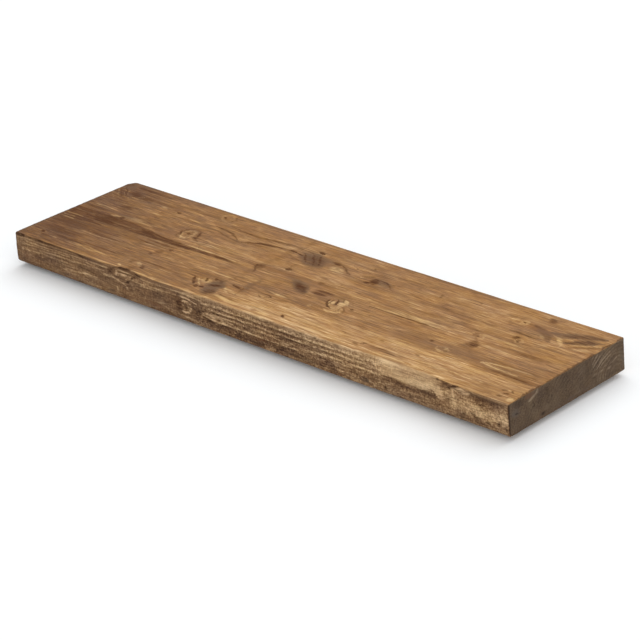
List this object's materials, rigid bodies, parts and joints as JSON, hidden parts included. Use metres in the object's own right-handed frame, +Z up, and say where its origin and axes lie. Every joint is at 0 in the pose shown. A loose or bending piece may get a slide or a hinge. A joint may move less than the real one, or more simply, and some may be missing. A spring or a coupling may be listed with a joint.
{
  "type": "floating wall shelf",
  "caption": "Thick rustic solid wood wall board with worn front edges, held by concealed steel rods on screwed wall plates that its back face hides.",
  "frame": {"origin": "on the wall plane, on the centre rod's axis, so at the middle of the board's length and thickness", "axes": "+X along the wall to the right as seen from the room, +Y into the wall, +Z up"},
  "size_m": [0.9, 0.2522, 0.045],
  "materials": {
    "aged_pine": "waxed, worn, grain and rings raised",
    "plate_steel": "bright zinc plated",
    "rod_steel": "drawn, lightly oiled",
    "screw_zinc": "yellow passivated zinc",
    "plug_nylon": "moulded grey nylon"
  },
  "bodies": {
    "wall_supports": {"support_plate_left": "plate_steel", "support_plate_centre": "plate_steel", "support_plate_right": "plate_steel", "support_rod_left": "rod_steel", "support_rod_centre": "rod_steel", "support_rod_right": "rod_steel", "wall_screw_left_a": "screw_zinc", "wall_screw_left_b": "screw_zinc", "wall_screw_centre_a": "screw_zinc", "wall_screw_centre_b": "screw_zinc", "wall_screw_right_a": "screw_zinc", "wall_screw_right_b": "screw_zinc", "wall_plug_left_a": "plug_nylon", "wall_plug_left_b": "plug_nylon", "wall_plug_centre_a": "plug_nylon", "wall_plug_centre_b": "plug_nylon", "wall_plug_right_a": "plug_nylon", "wall_plug_right_b": "plug_nylon"},
    "shelf": {"shelf_board": "aged_pine"}
  },
  "joints": [
    {"name": "shelf_slide", "type": "slide", "parent": "wall_supports", "child": "shelf", "axis": [0, -1, 0], "range_m": [0, 0.16]}
  ]
}
